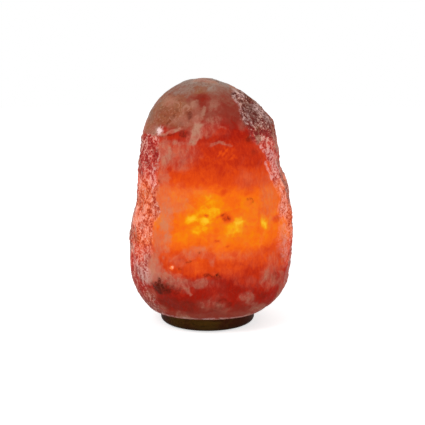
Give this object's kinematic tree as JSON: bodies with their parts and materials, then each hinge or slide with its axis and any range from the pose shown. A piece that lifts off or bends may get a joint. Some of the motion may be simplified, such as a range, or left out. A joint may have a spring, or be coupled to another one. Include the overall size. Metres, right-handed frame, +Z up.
{
  "type": "salt crystal lamp",
  "caption": "Rough salt crystal, bored from below, on a round wooden base, with a clip-in lampholder and screw-in bulb that light it from inside.",
  "frame": {"origin": "on the table, under the middle of the round base, at the height of the feet's undersides", "axes": "+Z up along the axis of the base and bulb; -Y is the front seen in the picture; +X to the right as seen from the front"},
  "size_m": [0.1571, 0.1434, 0.235],
  "materials": {
    "salt": "rough rock salt, lit from inside",
    "dark_wood": "dark stained, satin",
    "steel": "zinc plated",
    "nylon": "moulded",
    "rubber": "matte",
    "white_plastic": "satin",
    "ceramic": "unglazed",
    "brass": "stamped",
    "spring_steel": "rolled",
    "solder": "dull",
    "bulb_cap_metal": "nickel plated",
    "black_glass": "gloss",
    "clear_glass": "clear",
    "tungsten": "glowing wire"
  },
  "bodies": {
    "root": {"salt_crystal": "salt", "wooden_base": "dark_wood", "base_screws": "steel", "wall_plugs": "nylon", "rubber_feet": "rubber"},
    "lampholder": {"holder_cap": "white_plastic", "holder_body": "white_plastic", "holder_insert": "ceramic", "terminals": "brass", "terminal_screws": "steel", "screw_shell": "brass", "centre_contact": "brass", "spring_clip": "spring_steel", "clip_nut": "white_plastic", "cord_bushing": "rubber", "cord_grip_screw": "nylon"},
    "bulb_tip": {"bulb_tip_contact": "solder"},
    "bulb": {"bulb_cap": "bulb_cap_metal", "bulb_cap_insulator": "black_glass", "bulb_glass": "clear_glass", "bulb_stem": "clear_glass", "bulb_leads": "steel", "bulb_filament": "tungsten"}
  },
  "joints": [
    {"name": "holder_slide", "type": "slide", "parent": "root", "child": "lampholder", "axis": [0, 0, -1], "range_m": [0, 0.12]},
    {"name": "bulb_rise", "type": "slide", "parent": "lampholder", "child": "bulb_tip", "axis": [0, 0, 1], "range_m": [0, 0.00988]},
    {"name": "bulb_turn", "type": "hinge", "parent": "bulb_tip", "child": "bulb", "pos_m": [0, 0, 0.0569], "axis": [0, 0, 1], "range_deg": [0, 1260]}
  ],
  "couplings": [
    {"joint": "bulb_rise", "follows": "bulb_turn", "m_per_rad": 0.00044913}
  ]
}
